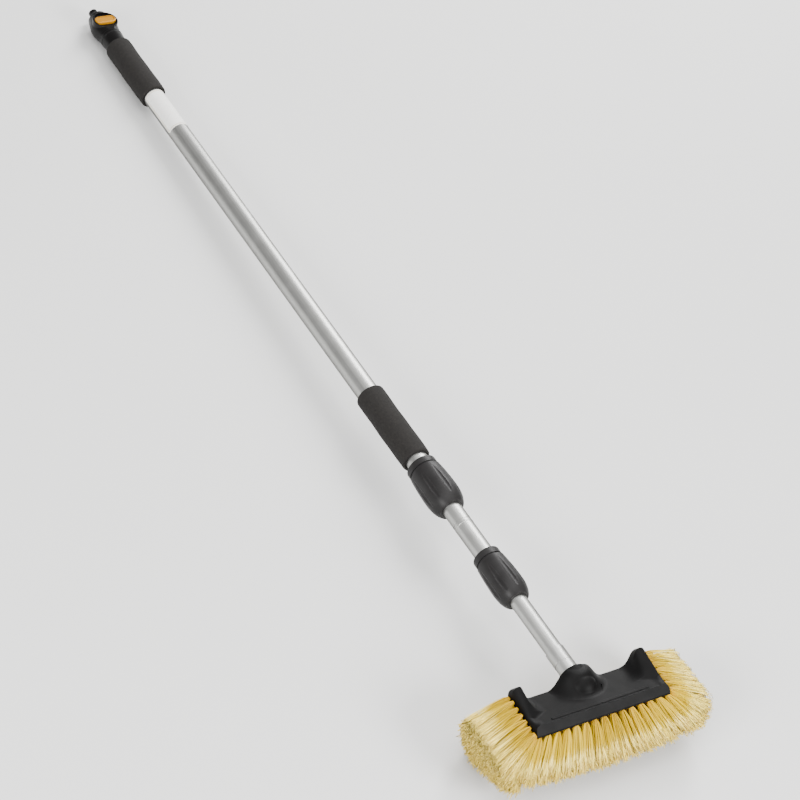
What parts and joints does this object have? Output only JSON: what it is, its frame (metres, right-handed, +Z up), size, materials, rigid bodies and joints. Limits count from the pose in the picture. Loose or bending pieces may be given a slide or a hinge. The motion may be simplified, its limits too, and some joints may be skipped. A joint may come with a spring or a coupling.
{
  "type": "telescopic flow-through wash brush",
  "caption": "Telescopic flow-through wash brush with a sliding aluminium pole, twist locks, foam grips, a water tap with a hose plug, and a wide head with soft flared bristles.",
  "frame": {"origin": "on the floor under the middle of the brush's length and width", "axes": "+Y along the pole from the head towards the tap, +X along the head, +Z up from the floor it lies on"},
  "size_m": [0.3328, 1.5615, 0.099],
  "materials": {
    "aluminium_tube": "satin anodised",
    "black_foam": "matt foam",
    "black_plastic": "fine moulded texture",
    "head_plastic": "satin moulded",
    "amber_plastic": "gloss",
    "label": "bare film",
    "black_rubber": "matt",
    "white_plastic": "natural acetal",
    "yellow_bristle": "flagged fibre with cream tips"
  },
  "bodies": {
    "handle": {"outer_tube": "aluminium_tube", "upper_grip": "black_foam", "lower_grip": "black_foam", "label_film": "label", "pole_adaptor": "black_plastic", "adaptor_seal": "black_rubber", "union_ring": "black_plastic", "tap_body": "black_plastic", "hose_plug": "black_plastic", "plug_seal": "black_rubber", "inlet_seat": "white_plastic", "outlet_seat": "white_plastic", "upper_lock_sleeve": "black_plastic", "upper_lock_collet": "white_plastic", "upper_lock_seal": "black_rubber"},
    "tap_turn_piece": {"tap_lever": "amber_plastic", "valve_stem": "black_plastic", "stem_seal": "black_rubber", "valve_ball": "white_plastic"},
    "upper_nut": {"upper_lock_nut": "black_plastic"},
    "mid_stage": {"mid_tube": "aluminium_tube", "mid_guide": "white_plastic", "mid_guide_seal": "black_rubber", "lower_lock_sleeve": "black_plastic", "lower_lock_collet": "white_plastic", "lower_lock_seal": "black_rubber"},
    "lower_nut": {"lower_lock_nut": "black_plastic"},
    "head_stage": {"inner_tube": "aluminium_tube", "inner_guide": "white_plastic", "inner_guide_seal": "black_rubber", "end_sleeve": "aluminium_tube", "socket_washer": "black_rubber", "head_shell": "head_plastic", "tuft_board": "head_plastic", "board_gasket": "black_rubber", "bristles_front": "yellow_bristle", "bristles_back": "yellow_bristle", "bristles_bottom": "yellow_bristle", "bristles_left": "yellow_bristle", "bristles_right": "yellow_bristle"}
  },
  "joints": [
    {"name": "tap_turn", "type": "hinge", "parent": "handle", "child": "tap_turn_piece", "pos_m": [0, 0.73634, 0.0213], "axis": [0, 0.0384, 0.9993], "range_deg": [0, 90]},
    {"name": "mid_slide", "type": "slide", "parent": "handle", "child": "mid_stage", "axis": [0, -0.9993, 0.0384], "range_m": [0, 0.65]},
    {"name": "head_slide", "type": "slide", "parent": "mid_stage", "child": "head_stage", "axis": [0, -0.9993, 0.0384], "range_m": [0, 0.65]},
    {"name": "upper_lock_turn", "type": "hinge", "parent": "handle", "child": "upper_nut", "pos_m": [0, -0.32637, 0.06216], "axis": [0, 0.9993, -0.0384], "range_deg": [0, 180]},
    {"name": "lower_lock_turn", "type": "hinge", "parent": "mid_stage", "child": "lower_nut", "pos_m": [0, -0.49624, 0.06869], "axis": [0, 0.9993, -0.0384], "range_deg": [0, 180]}
  ]
}
